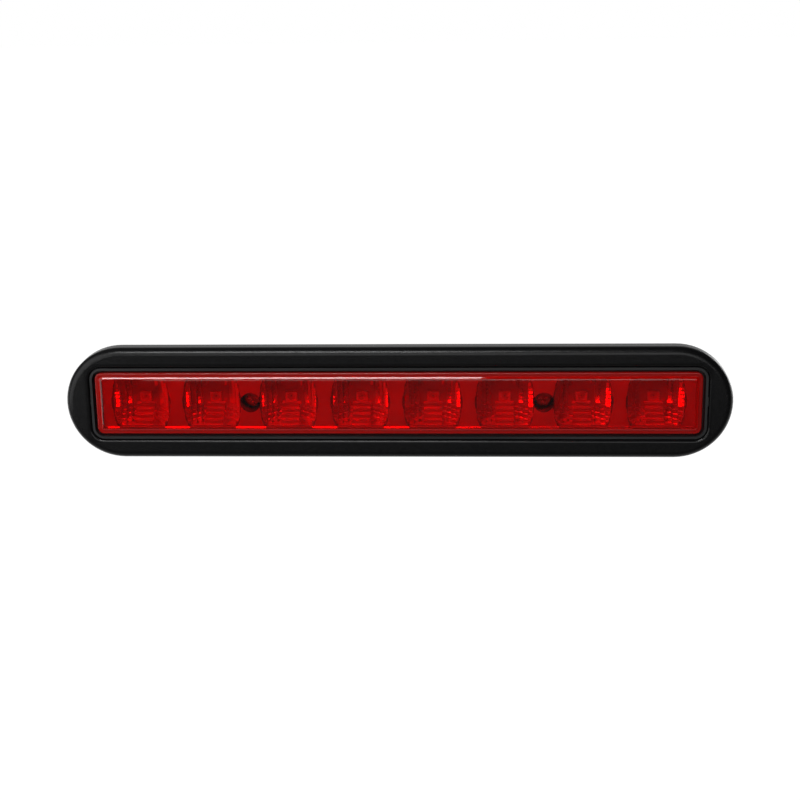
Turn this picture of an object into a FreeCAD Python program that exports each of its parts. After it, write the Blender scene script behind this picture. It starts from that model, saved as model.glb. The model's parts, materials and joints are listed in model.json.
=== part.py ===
import FreeCAD, Part
import math
import os

# Third brake light: a black oval trim ring and housing, a red lens, a bright reflector with one
# bowl for each LED, and the electronics behind it.
# Millimetres. X runs along the lamp, +Z is up and the lamp shines towards -Y. The origin is the
# centre of the mounting plane, where the foam gasket meets the vehicle's panel (y = 0).

Vector = FreeCAD.Vector

# ---- driving dimensions ----
BEZEL_LENGTH = 198.5
BEZEL_HEIGHT = 34.0
BEZEL_DEPTH = 5.3
BEZEL_WALL = 2.0
BEZEL_EDGE_ROUND = 2.2
OPENING_ROUND = 0.8
PANEL_GAP = 0.5
NIB_LENGTH = 9.0
NIB_REACH = 0.9
NIB_ROOT = 0.4
NIB_X = (-66.0, -22.0, 22.0, 66.0)
PAD_WIDTH = 1.5

LENS_LENGTH = 180.2
LENS_HEIGHT = 18.8
LENS_CORNER = 2.0
PANE_CORNER = 1.3
LENS_LEDGE = 1.1
LENS_STEP = 0.7
LEDGE_EDGE_ROUND = 0.35
PANE_BEVEL_WIDTH = 0.75
PANE_BEVEL_DEPTH = 0.43
PANE_FRONT_ROUND = 1.2
PANE_SIDE_ROUND = 0.25
LENS_THICKNESS = 2.0
LENS_WALL = 1.4
LENS_PROUD = 0.3
SEAL_THICKNESS = 0.5

LIP_GAP = 0.8
LIP_WALL = 0.7
LIP_RECESS = 0.25
BEZEL_FIT = 0.3

GASKET_THICKNESS = 1.5
GASKET_MARGIN = 0.2
GASKET_BOX_GAP = 0.5
FLANGE_THICKNESS = 1.8
SEAT_THICKNESS = 0.8
BOX_LENGTH = 176.0
BOX_HEIGHT = 19.6
BOX_WALL = 1.8
BOX_CORNER = 3.0
BOX_DEPTH = 13.0
BACK_WALL = 2.0
BACK_EDGE_ROUND = 1.2
BOSS_RADIUS = 3.2
POST_SIZE = 3.0

LED_COUNT = 8
LED_PITCH = 21.5
SCREW_PITCH = 23.0
LED_SIZE = (3.5, 1.9, 2.8)
LED_RECESS = 9.5
LED_CUP_RADII = (1.2, 0.9)
LED_CUP_DEPTH = 0.6
LED_PROUD = 0.8
LED_WINDOW_GAP = 0.4
BOWL_WIDTH = 18.0
BOWL_HEIGHT = 26.4
BOWL_FLOOR_WIDTH = 8.4
BOWL_SKIN = 0.8
BOWL_SKIN_LIMIT = 0.4
BOWL_MARGIN = 0.5
BOWL_TAPER = 0.42
BOWL_LEVELS = 4
REFLECTOR_PLATE = 1.2
REFLECTOR_CORNER = 0.8
REFLECTOR_SETBACK = 0.5
REFLECTOR_END_GAP = 0.3
REFLECTOR_SIDE_GAP = 0.2

BOARD_LENGTH = 170.0
BOARD_HEIGHT = 14.6
BOARD_THICKNESS = 1.6
BOARD_CORNER = 1.0
BOARD_CLEARANCE = 0.2

SCREW_SHANK_RADIUS = 1.45
SCREW_HEAD_RADIUS = 2.75
SCREW_HEAD_HEIGHT = 2.0
SCREW_HEAD_ROUND = 0.7
SCREW_RECESS_SPAN = 3.0
SCREW_RECESS_WIDTH = 0.8
SCREW_RECESS_DEPTH = 1.2
SCREW_LENGTH = 6.5
SCREW_WELL_RADIUS = 2.9
SCREW_WELL_WALL = 1.0
SCREW_WELL_FLOOR = 1.5
SCREW_HOLE_CLEARANCE = 0.15

STUD_SPACING = 187.8
STUD_RADIUS = 2.0
STUD_SHOULDER_RADIUS = 2.2
STUD_HEAD_RADIUS = 2.6
STUD_HEAD_THICKNESS = 1.0
STUD_HEAD_GAP = 0.1
STUD_TIP_CHAMFER = 0.4
STUD_BOSS_RADIUS = 3.0
STUD_REACH = 15.0

SOCKET_LENGTH = 15.0
SOCKET_HEIGHT = 10.6
SOCKET_WALL = 1.5
SOCKET_DEPTH = 14.0
SOCKET_CORNER = 1.5
SOCKET_INNER_CORNER = 0.6
SOCKET_COLLAR = 1.8
SOCKET_COLLAR_THICKNESS = 1.2
SOCKET_COLLAR_CORNER = 2.5
LATCH_SIZE = (4.0, 3.0, 1.2)
LATCH_SETBACK = 5.0
LATCH_RAMP_SHARE = 0.8
KEY_RIB = 0.8
KEY_RIB_HEIGHT = 1.6
KEY_RIB_SETBACK = 2.0
KEY_RIB_Z = -2.0
PIN_WIDTH = 2.8
PIN_THICKNESS = 0.8
PIN_SPACING = 5.0
PIN_SETBACK = 5.0
PIN_TIP_CHAMFER = 0.3
PIN_SHOULDER_GAP = 0.3

VENT_RADIUS = 3.5
VENT_THICKNESS = 0.5
VENT_HOLE_RADIUS = 1.0
VENT_X = 60.0
VENT_GUARD_RADIUS = 5.2
VENT_GUARD_WALL = 1.0
VENT_GUARD_HEIGHT = 1.4
VENT_GUARD_SLOT = 2.0
VENT_GUARD_BASE = 0.3

# The components on the back of the board: length, height along Z, thickness.
RESISTOR_SIZE = (6.3, 3.2, 0.6)
RESISTOR_X = (-73.0, -62.0, 32.0, 72.0)
DIODE_SIZE = (4.3, 2.6, 2.1)
DIODE_X = -24.0
SUPPRESSOR_SIZE = (4.6, 3.6, 2.3)
SUPPRESSOR_X = -12.5
REGULATOR_SIZE = (6.5, 6.1, 2.3)
REGULATOR_X = 15.0
CAPACITOR_SIZE = (3.2, 2.5, 1.6)
CAPACITOR_X = 24.5
CHIP_CHAMFER = 0.15

# ---- planes along Y, worked out from the sizes above ----
BEZEL_BACK = -PANEL_GAP
FACE = BEZEL_BACK - BEZEL_DEPTH
FLANGE_BACK = -GASKET_THICKNESS
FLANGE_FRONT = FLANGE_BACK - FLANGE_THICKNESS
SEAT_FRONT = FLANGE_BACK - SEAT_THICKNESS
BEZEL_PLATE_BACK = FACE + BEZEL_WALL
LENS_FRONT = FACE - LENS_PROUD
LENS_INSIDE = LENS_FRONT + LENS_THICKNESS
LENS_BACK = SEAT_FRONT - SEAL_THICKNESS
LED_FRONT = LENS_FRONT + LED_RECESS
BOARD_FRONT = LED_FRONT + LED_SIZE[1]
BOARD_BACK = BOARD_FRONT + BOARD_THICKNESS
BACK_INSIDE = BOX_DEPTH - BACK_WALL
PLATE_FRONT = LENS_INSIDE + REFLECTOR_SETBACK
PLATE_BACK = PLATE_FRONT + REFLECTOR_PLATE
BOWL_FLOOR = LED_FRONT + LED_PROUD
BOWL_BACK = BOARD_FRONT - BOARD_CLEARANCE
SCREW_HEAD_BACK = BOARD_FRONT - SCREW_WELL_FLOOR
SCREW_HEAD_FRONT = SCREW_HEAD_BACK - SCREW_HEAD_HEIGHT
PIN_SHOULDER = BOARD_BACK + PIN_SHOULDER_GAP
LIP_FRONT = FACE + LIP_RECESS
STUD_HEAD_FRONT = BEZEL_PLATE_BACK + STUD_HEAD_GAP
STUD_HEAD_BACK = STUD_HEAD_FRONT + STUD_HEAD_THICKNESS

# ---- outlines that follow from the lens ----
LIP_INNER_LENGTH = LENS_LENGTH + 2 * LIP_GAP
LIP_INNER_HEIGHT = LENS_HEIGHT + 2 * LIP_GAP
LIP_INNER_CORNER = LENS_CORNER + LIP_GAP
LIP_OUTER_LENGTH = LIP_INNER_LENGTH + 2 * LIP_WALL
LIP_OUTER_HEIGHT = LIP_INNER_HEIGHT + 2 * LIP_WALL
LIP_OUTER_CORNER = LIP_INNER_CORNER + LIP_WALL
OPENING_LENGTH = LIP_OUTER_LENGTH + 2 * BEZEL_FIT
OPENING_HEIGHT = LIP_OUTER_HEIGHT + 2 * BEZEL_FIT
OPENING_CORNER = LIP_OUTER_CORNER + BEZEL_FIT
FLANGE_LENGTH = BEZEL_LENGTH - 2 * BEZEL_WALL - 2 * BEZEL_FIT
FLANGE_HEIGHT = BEZEL_HEIGHT - 2 * BEZEL_WALL - 2 * BEZEL_FIT
REFLECTOR_LENGTH = LENS_LENGTH - 2 * LENS_WALL - 2 * REFLECTOR_END_GAP
REFLECTOR_HEIGHT = LENS_HEIGHT - 2 * LENS_WALL - 2 * REFLECTOR_SIDE_GAP
BOX_INNER_LENGTH = BOX_LENGTH - 2 * BOX_WALL
BOX_INNER_HEIGHT = BOX_HEIGHT - 2 * BOX_WALL

# ---- places along X ----
# The bowls stand a pitch apart, with a wider gap where each screw passes between two of them.
SCREW_X = 1.5 * LED_PITCH + SCREW_PITCH / 2
LED_X = [
    side * (0.5 * LED_PITCH + step * LED_PITCH + (SCREW_PITCH - LED_PITCH if step > 1 else 0.0))
    for side in (-1, 1)
    for step in range(LED_COUNT // 2)
]
LED_X.sort()
STUD_X = (-STUD_SPACING / 2, STUD_SPACING / 2)


# ---- helpers ----
def rounded_outline(length, height, corner, y):
    """A closed wire in the XZ plane at y: a rectangle with rounded corners, or an oval."""
    half_x = length / 2
    half_z = height / 2
    edges = []
    corners = [(1, 1, 0), (-1, 1, 90), (-1, -1, 180), (1, -1, 270)]
    points = []
    for side_x, side_z, start in corners:
        centre = Vector(side_x * (half_x - corner), y, side_z * (half_z - corner))
        arc_points = [
            centre + Vector(math.cos(math.radians(a)), 0, math.sin(math.radians(a))) * corner
            for a in (start, start + 45, start + 90)
        ]
        points.append(arc_points)
    for index, arc_points in enumerate(points):
        edges.append(Part.Arc(*arc_points).toShape())
        following = points[(index + 1) % len(points)][0]
        if arc_points[2].distanceToPoint(following) > 1e-6:
            edges.append(Part.LineSegment(arc_points[2], following).toShape())
    return Part.Wire(edges)


def slab(length, height, corner, y_front, y_back):
    """A plate between two planes across Y, with the rounded outline."""
    face = Part.Face(rounded_outline(length, height, corner, y_front))
    return face.extrude(Vector(0, y_back - y_front, 0))


def oval(length, height, y_front, y_back):
    """A plate with full-round ends."""
    return slab(length, height, height / 2, y_front, y_back)


def block(size_x, size_z, y_front, y_back, x=0.0, z=0.0):
    """A box centred on (x, z) between two planes across Y."""
    corner = Vector(x - size_x / 2, y_front, z - size_z / 2)
    return Part.makeBox(size_x, y_back - y_front, size_z, corner)


def rod(radius, y_front, y_back, x=0.0, z=0.0):
    """A cylinder along Y."""
    return Part.makeCylinder(radius, y_back - y_front, Vector(x, y_front, z), Vector(0, 1, 0))


def edges_at(shape, y, within=None):
    """The edges that lie in the plane y, or only those no further out than half of within."""
    found = []
    for edge in shape.Edges:
        box = edge.BoundBox
        flat = abs(box.YMin - y) < 1e-4 and abs(box.YMax - y) < 1e-4
        reach = max(abs(box.XMin), abs(box.XMax))
        if flat and (within is None or reach < within / 2 + 0.1):
            found.append(edge)
    return found


def save(name, shape):
    """Writes one node's STEP file, after a check that its solids are sound."""
    shape = shape.removeSplitter()
    if not shape.isValid() or not shape.Solids:
        raise ValueError(f"{name} isn't a valid solid")
    shape.exportStep(f"parts/{name}.step")
    print(f"{name:20s} solids {len(shape.Solids)}  volume {shape.Volume:9.1f} mm3")


# ---- trim ring ----
def bezel():
    """The oval cover: a rounded ring around the lens opening, with nibs that snap behind the flange."""
    inner_length = BEZEL_LENGTH - 2 * BEZEL_WALL
    inner_height = BEZEL_HEIGHT - 2 * BEZEL_WALL
    ring = oval(BEZEL_LENGTH, BEZEL_HEIGHT, FACE, BEZEL_BACK)
    ring = ring.makeFillet(BEZEL_EDGE_ROUND, edges_at(ring, FACE))
    ring = ring.cut(oval(inner_length, inner_height, BEZEL_PLATE_BACK, BEZEL_BACK))
    ring = ring.cut(slab(OPENING_LENGTH, OPENING_HEIGHT, OPENING_CORNER, FACE, BEZEL_BACK))
    ring = ring.makeFillet(OPENING_ROUND, edges_at(ring, FACE, OPENING_LENGTH))
    nib_z = inner_height / 2 + (NIB_ROOT - NIB_REACH) / 2
    pad_z = (inner_height + OPENING_HEIGHT) / 4
    for x in NIB_X:
        for side in (-1, 1):
            nib = block(NIB_LENGTH, NIB_REACH + NIB_ROOT, FLANGE_BACK, BEZEL_BACK, x, side * nib_z)
            pad = block(NIB_LENGTH, PAD_WIDTH, BEZEL_PLATE_BACK, FLANGE_FRONT, x, side * pad_z)
            ring = ring.fuse(nib).fuse(pad)
    return ring


# ---- housing ----
def tray():
    """The oval flange, the thin lip round the lens and the rear box, hollowed from the front."""
    body = oval(FLANGE_LENGTH, FLANGE_HEIGHT, FLANGE_FRONT, FLANGE_BACK)
    lip = slab(LIP_OUTER_LENGTH, LIP_OUTER_HEIGHT, LIP_OUTER_CORNER, LIP_FRONT, FLANGE_BACK)
    box = slab(BOX_LENGTH, BOX_HEIGHT, BOX_CORNER, FLANGE_BACK, BOX_DEPTH)
    box = box.makeFillet(BACK_EDGE_ROUND, edges_at(box, BOX_DEPTH))
    body = body.fuse(lip).fuse(box)
    for x in STUD_X:
        body = body.fuse(rod(STUD_BOSS_RADIUS, STUD_HEAD_FRONT, FLANGE_FRONT, x))
    body = body.cut(slab(LIP_INNER_LENGTH, LIP_INNER_HEIGHT, LIP_INNER_CORNER, LIP_FRONT, SEAT_FRONT))
    inner_corner = BOX_CORNER - BOX_WALL
    return body.cut(slab(BOX_INNER_LENGTH, BOX_INNER_HEIGHT, inner_corner, SEAT_FRONT, BACK_INSIDE))


def board_supports():
    """The two screw bosses and the four corner posts that the board rests on."""
    supports = []
    for x in (-SCREW_X, SCREW_X):
        boss = rod(BOSS_RADIUS, BOARD_BACK, BACK_INSIDE, x)
        supports.append(boss.cut(rod(SCREW_SHANK_RADIUS, BOARD_BACK, BACK_INSIDE, x)))
    post_x = (BOARD_LENGTH - POST_SIZE) / 2
    post_z = (BOX_INNER_HEIGHT - POST_SIZE) / 2
    for side_x in (-1, 1):
        for side_z in (-1, 1):
            place = (side_x * post_x, side_z * post_z)
            supports.append(block(POST_SIZE, POST_SIZE, BOARD_BACK, BACK_INSIDE, *place))
    return supports


def plug_socket():
    """The shroud round the plug blades, with a collar at its root, a latch ramp and two key ribs."""
    end = BOX_DEPTH + SOCKET_DEPTH
    inner_length = SOCKET_LENGTH - 2 * SOCKET_WALL
    inner_height = SOCKET_HEIGHT - 2 * SOCKET_WALL
    shroud = slab(SOCKET_LENGTH, SOCKET_HEIGHT, SOCKET_CORNER, BOX_DEPTH, end)
    collar_length = SOCKET_LENGTH + 2 * SOCKET_COLLAR
    collar_height = SOCKET_HEIGHT + 2 * SOCKET_COLLAR
    collar_back = BOX_DEPTH + SOCKET_COLLAR_THICKNESS
    collar = slab(collar_length, collar_height, SOCKET_COLLAR_CORNER, BOX_DEPTH, collar_back)
    latch_length, latch_depth, latch_height = LATCH_SIZE
    latch_z = SOCKET_HEIGHT / 2 + latch_height / 2
    latch_end = end - LATCH_SETBACK
    latch = block(latch_length, latch_height, latch_end - latch_depth, latch_end, 0, latch_z)
    ramp_edges = [e for e in edges_at(latch, latch_end) if e.BoundBox.ZMin > latch_z]
    latch = latch.makeChamfer(latch_height * LATCH_RAMP_SHARE, ramp_edges)
    shroud = shroud.fuse(collar).fuse(latch)
    for side in (-1, 1):
        rib_x = side * (SOCKET_LENGTH + KEY_RIB) / 2
        rib = block(KEY_RIB, KEY_RIB_HEIGHT, BOX_DEPTH, end - KEY_RIB_SETBACK, rib_x, KEY_RIB_Z)
        shroud = shroud.fuse(rib)
    return shroud.cut(slab(inner_length, inner_height, SOCKET_INNER_CORNER, BOX_DEPTH, end))


def vent_guard():
    """The slotted ring that keeps jets of water off the vent."""
    back = BOX_DEPTH + VENT_GUARD_HEIGHT
    ring = rod(VENT_GUARD_RADIUS, BOX_DEPTH, back, VENT_X)
    ring = ring.cut(rod(VENT_GUARD_RADIUS - VENT_GUARD_WALL, BOX_DEPTH, back, VENT_X))
    span = 2 * VENT_GUARD_RADIUS
    slot_front = BOX_DEPTH + VENT_GUARD_BASE
    ring = ring.cut(block(span, VENT_GUARD_SLOT, slot_front, back, VENT_X))
    return ring.cut(block(VENT_GUARD_SLOT, span, slot_front, back, VENT_X))


def housing():
    """The tray that holds everything, with its supports, plug socket, vent and stud holes."""
    body = tray()
    for support in board_supports():
        body = body.fuse(support)
    body = body.fuse(plug_socket()).fuse(vent_guard())
    for x in STUD_X:
        body = body.cut(rod(STUD_HEAD_RADIUS, STUD_HEAD_FRONT, STUD_HEAD_BACK, x))
        body = body.cut(rod(STUD_SHOULDER_RADIUS, STUD_HEAD_FRONT, FLANGE_BACK, x))
    for side in (-1, 1):
        body = body.cut(block(PIN_WIDTH, PIN_THICKNESS, BACK_INSIDE, BOX_DEPTH, side * PIN_SPACING / 2))
    body = body.cut(rod(VENT_RADIUS, BOX_DEPTH - VENT_THICKNESS, BOX_DEPTH, VENT_X))
    return body.cut(rod(VENT_HOLE_RADIUS, BACK_INSIDE, BOX_DEPTH, VENT_X))


def mounting_gasket():
    """The foam ring squeezed between the flange and the panel."""
    length = FLANGE_LENGTH - 2 * GASKET_MARGIN
    height = FLANGE_HEIGHT - 2 * (NIB_REACH + GASKET_MARGIN)
    hole_length = BOX_LENGTH + 2 * GASKET_BOX_GAP
    hole_height = BOX_HEIGHT + 2 * GASKET_BOX_GAP
    ring = oval(length, height, FLANGE_BACK, 0.0)
    ring = ring.cut(slab(hole_length, hole_height, BOX_CORNER + GASKET_BOX_GAP, FLANGE_BACK, 0.0))
    for x in STUD_X:
        ring = ring.cut(rod(STUD_SHOULDER_RADIUS, FLANGE_BACK, 0.0, x))
    return ring


def mount_studs():
    """The two M4 studs: a head pressed into the flange, a shoulder up to the panel, then thread."""
    studs = []
    for x in STUD_X:
        head = rod(STUD_HEAD_RADIUS, STUD_HEAD_FRONT, STUD_HEAD_BACK, x)
        shoulder = rod(STUD_SHOULDER_RADIUS, STUD_HEAD_FRONT, 0.0, x)
        thread = rod(STUD_RADIUS, 0.0, STUD_REACH, x)
        thread = thread.makeChamfer(STUD_TIP_CHAMFER, edges_at(thread, STUD_REACH))
        studs.append(head.fuse(shoulder).fuse(thread).removeSplitter())
    return Part.makeCompound(studs)


def breather_vent():
    """The round membrane that lets the lamp breathe and keeps water out."""
    return rod(VENT_RADIUS, BOX_DEPTH - VENT_THICKNESS, BOX_DEPTH, VENT_X)


# ---- lens ----
def lens():
    """The red cap: a bevelled pane inside a narrow ledge, and a short wall that stands on the seal."""
    ledge_front = LENS_FRONT + LENS_STEP
    pane_length = LENS_LENGTH - 2 * LENS_LEDGE
    pane_height = LENS_HEIGHT - 2 * LENS_LEDGE
    bevel_back = LENS_FRONT + PANE_BEVEL_DEPTH
    front_length = pane_length - 2 * PANE_BEVEL_WIDTH
    front_height = pane_height - 2 * PANE_BEVEL_WIDTH
    front = rounded_outline(front_length, front_height, PANE_CORNER - PANE_BEVEL_WIDTH, LENS_FRONT)
    side = rounded_outline(pane_length, pane_height, PANE_CORNER, bevel_back)
    pane = slab(pane_length, pane_height, PANE_CORNER, bevel_back, ledge_front)
    pane = pane.fuse(Part.makeLoft([front, side], True, True))
    pane = pane.makeFillet(PANE_FRONT_ROUND, edges_at(pane, LENS_FRONT))
    pane = pane.makeFillet(PANE_SIDE_ROUND, edges_at(pane, bevel_back))
    base = slab(LENS_LENGTH, LENS_HEIGHT, LENS_CORNER, ledge_front, LENS_BACK)
    base = base.makeFillet(LEDGE_EDGE_ROUND, edges_at(base, ledge_front))
    hollow = slab(
        LENS_LENGTH - 2 * LENS_WALL,
        LENS_HEIGHT - 2 * LENS_WALL,
        LENS_CORNER - LENS_WALL,
        LENS_INSIDE,
        LENS_BACK,
    )
    return pane.fuse(base).cut(hollow)


def lens_seal():
    """The bead of sealant under the lens wall."""
    bead = slab(LENS_LENGTH, LENS_HEIGHT, LENS_CORNER, LENS_BACK, SEAT_FRONT)
    hollow = slab(
        LENS_LENGTH - 2 * LENS_WALL,
        LENS_HEIGHT - 2 * LENS_WALL,
        LENS_CORNER - LENS_WALL,
        LENS_BACK,
        SEAT_FRONT,
    )
    return bead.cut(hollow)


# ---- reflector ----
def bowl_outline(half_width, half_height, limit, x, y):
    """An ellipse cut off flat above and below at limit, as four edges in the plane y."""
    angle = math.asin(limit / half_height)

    def at(turn):
        return Vector(x + half_width * math.cos(turn), y, half_height * math.sin(turn))

    right = Part.Arc(at(-angle), at(0.0), at(angle)).toShape()
    left = Part.Arc(at(math.pi - angle), at(math.pi), at(math.pi + angle)).toShape()
    top = Part.LineSegment(at(angle), at(math.pi - angle)).toShape()
    bottom = Part.LineSegment(at(math.pi + angle), at(-angle)).toShape()
    return Part.Wire([right, top, left, bottom])


def bowl(x, grow, y_mouth, y_floor):
    """A paraboloid bowl with flat top and bottom, as a solid that widens towards its mouth."""
    depth = y_floor - y_mouth
    spread = (BOWL_FLOOR_WIDTH / BOWL_WIDTH) ** 2
    limit = REFLECTOR_HEIGHT / 2 - BOWL_MARGIN
    sections = []
    for level in range(BOWL_LEVELS + 1):
        share = level / BOWL_LEVELS
        width = math.sqrt(1 - share * (1 - spread))
        sections.append(
            bowl_outline(
                BOWL_WIDTH / 2 * width + grow,
                BOWL_HEIGHT / 2 * width + grow,
                limit * (1 - BOWL_TAPER * share * share) + min(grow, BOWL_SKIN_LIMIT),
                x,
                y_mouth + share * depth,
            )
        )
    return Part.makeLoft(sections, True, False)


def reflector():
    """The bright plate: one bowl for each LED and a well for each screw."""
    plate = slab(REFLECTOR_LENGTH, REFLECTOR_HEIGHT, REFLECTOR_CORNER, PLATE_FRONT, PLATE_BACK)
    for x in LED_X:
        plate = plate.fuse(bowl(x, BOWL_SKIN, PLATE_FRONT, BOWL_BACK))
    for x in (-SCREW_X, SCREW_X):
        plate = plate.fuse(rod(SCREW_WELL_RADIUS + SCREW_WELL_WALL, PLATE_FRONT, BOARD_FRONT, x))
    keep = slab(REFLECTOR_LENGTH, REFLECTOR_HEIGHT, REFLECTOR_CORNER, PLATE_FRONT, BOARD_FRONT)
    plate = plate.common(keep)
    window_length = LED_SIZE[0] + 2 * LED_WINDOW_GAP
    window_height = LED_SIZE[2] + 2 * LED_WINDOW_GAP
    for x in LED_X:
        plate = plate.cut(bowl(x, 0.0, PLATE_FRONT, BOWL_FLOOR))
        plate = plate.cut(block(window_length, window_height, LED_FRONT, BOARD_FRONT, x))
    for x in (-SCREW_X, SCREW_X):
        plate = plate.cut(rod(SCREW_WELL_RADIUS, PLATE_FRONT, SCREW_HEAD_BACK, x))
        plate = plate.cut(rod(SCREW_SHANK_RADIUS + SCREW_HOLE_CLEARANCE, PLATE_FRONT, BOARD_FRONT, x))
    return plate


def reflector_screws():
    """The two pan-head screws that hold the reflector and the board in the housing."""
    recess_back = SCREW_HEAD_FRONT + SCREW_RECESS_DEPTH
    screws = []
    for x in (-SCREW_X, SCREW_X):
        head = rod(SCREW_HEAD_RADIUS, SCREW_HEAD_FRONT, SCREW_HEAD_BACK, x)
        head = head.makeFillet(SCREW_HEAD_ROUND, edges_at(head, SCREW_HEAD_FRONT))
        head = head.cut(block(SCREW_RECESS_SPAN, SCREW_RECESS_WIDTH, SCREW_HEAD_FRONT, recess_back, x))
        head = head.cut(block(SCREW_RECESS_WIDTH, SCREW_RECESS_SPAN, SCREW_HEAD_FRONT, recess_back, x))
        shank = rod(SCREW_SHANK_RADIUS, SCREW_HEAD_BACK, SCREW_HEAD_BACK + SCREW_LENGTH, x)
        screws.append(head.fuse(shank).removeSplitter())
    return Part.makeCompound(screws)


# ---- electronics ----
def circuit_board():
    """The board, with holes for the screws and the terminal tails."""
    board = slab(BOARD_LENGTH, BOARD_HEIGHT, BOARD_CORNER, BOARD_FRONT, BOARD_BACK)
    for x in (-SCREW_X, SCREW_X):
        board = board.cut(rod(SCREW_SHANK_RADIUS + SCREW_HOLE_CLEARANCE, BOARD_FRONT, BOARD_BACK, x))
    for x in (-PIN_SPACING / 2, PIN_SPACING / 2):
        board = board.cut(block(PIN_WIDTH / 2, PIN_THICKNESS, BOARD_FRONT, BOARD_BACK, x))
    return board


def led(x):
    """One surface-mount LED: a white package with a round cup for its chip."""
    size_x, size_y, size_z = LED_SIZE
    package = block(size_x, size_z, LED_FRONT, BOARD_FRONT, x)
    cup = Part.makeCone(*LED_CUP_RADII, LED_CUP_DEPTH, Vector(x, LED_FRONT, 0), Vector(0, 1, 0))
    return package.cut(cup)


def chip(size, x):
    """A component on the back of the board, at the middle of its height."""
    length, height, thickness = size
    part = block(length, height, BOARD_BACK, BOARD_BACK + thickness, x)
    return part.makeChamfer(CHIP_CHAMFER, edges_at(part, BOARD_BACK + thickness))


def ballast_resistors():
    """Two resistors in each of the two LED strings."""
    return Part.makeCompound([chip(RESISTOR_SIZE, x) for x in RESISTOR_X])


def terminal_pins():
    """The two plug blades, each with a narrow tail soldered through the board."""
    tip = BOX_DEPTH + SOCKET_DEPTH - PIN_SETBACK
    pins = []
    for x in (-PIN_SPACING / 2, PIN_SPACING / 2):
        blade = block(PIN_WIDTH, PIN_THICKNESS, PIN_SHOULDER, tip, x)
        blade = blade.makeChamfer(PIN_TIP_CHAMFER, edges_at(blade, tip))
        tail = block(PIN_WIDTH / 2, PIN_THICKNESS, BOARD_FRONT, PIN_SHOULDER, x)
        pins.append(blade.fuse(tail).removeSplitter())
    return Part.makeCompound(pins)


def build():
    os.makedirs("parts", exist_ok=True)
    save("bezel", bezel())
    save("housing", housing())
    save("mounting_gasket", mounting_gasket())
    save("mount_studs", mount_studs())
    save("breather_vent", breather_vent())
    save("lens", lens())
    save("lens_seal", lens_seal())
    save("reflector", reflector())
    save("reflector_screws", reflector_screws())
    save("circuit_board", circuit_board())
    for number, x in enumerate(LED_X, start=1):
        save(f"led_{number}", led(x))
    save("ballast_resistors", ballast_resistors())
    save("protection_diode", chip(DIODE_SIZE, DIODE_X))
    save("surge_suppressor", chip(SUPPRESSOR_SIZE, SUPPRESSOR_X))
    save("current_regulator", chip(REGULATOR_SIZE, REGULATOR_X))
    save("input_capacitor", chip(CAPACITOR_SIZE, CAPACITOR_X))
    save("terminal_pins", terminal_pins())


build()
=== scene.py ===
import json
import math

import bmesh
import bpy
from mathutils import Matrix, Quaternion, Vector

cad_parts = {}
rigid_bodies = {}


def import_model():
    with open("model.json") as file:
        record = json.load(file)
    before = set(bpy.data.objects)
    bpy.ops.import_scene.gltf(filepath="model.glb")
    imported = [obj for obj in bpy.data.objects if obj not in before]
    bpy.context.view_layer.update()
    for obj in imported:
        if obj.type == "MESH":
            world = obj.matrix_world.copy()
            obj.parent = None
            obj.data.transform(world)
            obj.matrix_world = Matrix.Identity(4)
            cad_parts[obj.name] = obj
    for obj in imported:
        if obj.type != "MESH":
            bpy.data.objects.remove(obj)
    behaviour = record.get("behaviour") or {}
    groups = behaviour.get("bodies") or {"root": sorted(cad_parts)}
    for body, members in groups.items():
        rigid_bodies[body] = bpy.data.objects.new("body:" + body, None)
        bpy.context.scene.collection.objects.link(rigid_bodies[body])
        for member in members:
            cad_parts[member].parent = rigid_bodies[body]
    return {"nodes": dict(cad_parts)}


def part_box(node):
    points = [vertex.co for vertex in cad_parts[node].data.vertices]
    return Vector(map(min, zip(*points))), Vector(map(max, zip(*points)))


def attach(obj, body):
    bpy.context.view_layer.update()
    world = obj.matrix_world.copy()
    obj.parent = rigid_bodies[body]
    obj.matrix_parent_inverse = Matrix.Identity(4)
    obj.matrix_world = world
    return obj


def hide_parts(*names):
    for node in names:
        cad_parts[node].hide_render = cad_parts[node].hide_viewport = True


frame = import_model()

# Third brake light: an oval black trim ring round a clear red lens, with eight faceted reflector
# bowls and their LEDs behind it. Metres, in the frame of the CAD model: X along the lamp, +Z up,
# and the lamp faces -Y.

MM = 0.001
BODY = "root"
LED_NODES = [f"led_{number}" for number in range(1, 9)]
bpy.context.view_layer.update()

# ---- driving dimensions, for what the frame doesn't give ----
# Lens and bezel. The margins are measured from the edge of the lens's box.
OPENING_MARGIN = 2.6 * MM
GRAIN_FADE = 0.5 * MM
PANE_MARGIN = 1.9 * MM
PANE_EDGE = 0.3 * MM
PANE_BEVEL = 0.8 * MM

# Reflector plate and bowls
PLATE_THICKNESS = 1.2 * MM
PLATE_BEVEL = 0.25 * MM
BOWL_HALF_WIDTH = 9.0 * MM
BOWL_HALF_HEIGHT = 13.2 * MM
BOWL_FLOOR_HALF_WIDTH = 4.2 * MM
BOWL_END_MARGIN = 0.5 * MM
BOWL_SKIN = 0.8 * MM
BOWL_SKIN_END = 0.4 * MM
# How far behind the plate's front the band of painted shade inside the bowls' mouths is centred
MOUTH_SHADE_DEPTH = 0.4 * MM
FRONT_FADE = 0.1 * MM
SATIN_FADE = 0.4 / 3 * MM
LED_PROUD = 0.8 * MM
WINDOW_HALF = Vector((1.9, 0.0, 1.55)) * MM
WINDOW_REACH = 0.2 * MM
WELL_RADIUS = 2.9 * MM
WELL_WALL = 1.0 * MM
WELL_OVERLAP = 0.3 * MM
SHANK_HOLE_RADIUS = 1.6 * MM
SCREW_HEAD_RADIUS = 2.75 * MM
SCREW_HEAD_HEIGHT = 2.0 * MM
RIB_HEIGHT = 0.3 * MM
RIB_DEPTH = 0.6 * MM
RIB_CLEARANCE = 7.0 * MM
RIB_INSET = 0.02 * MM
RIB_SINK = 0.01 * MM

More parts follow.
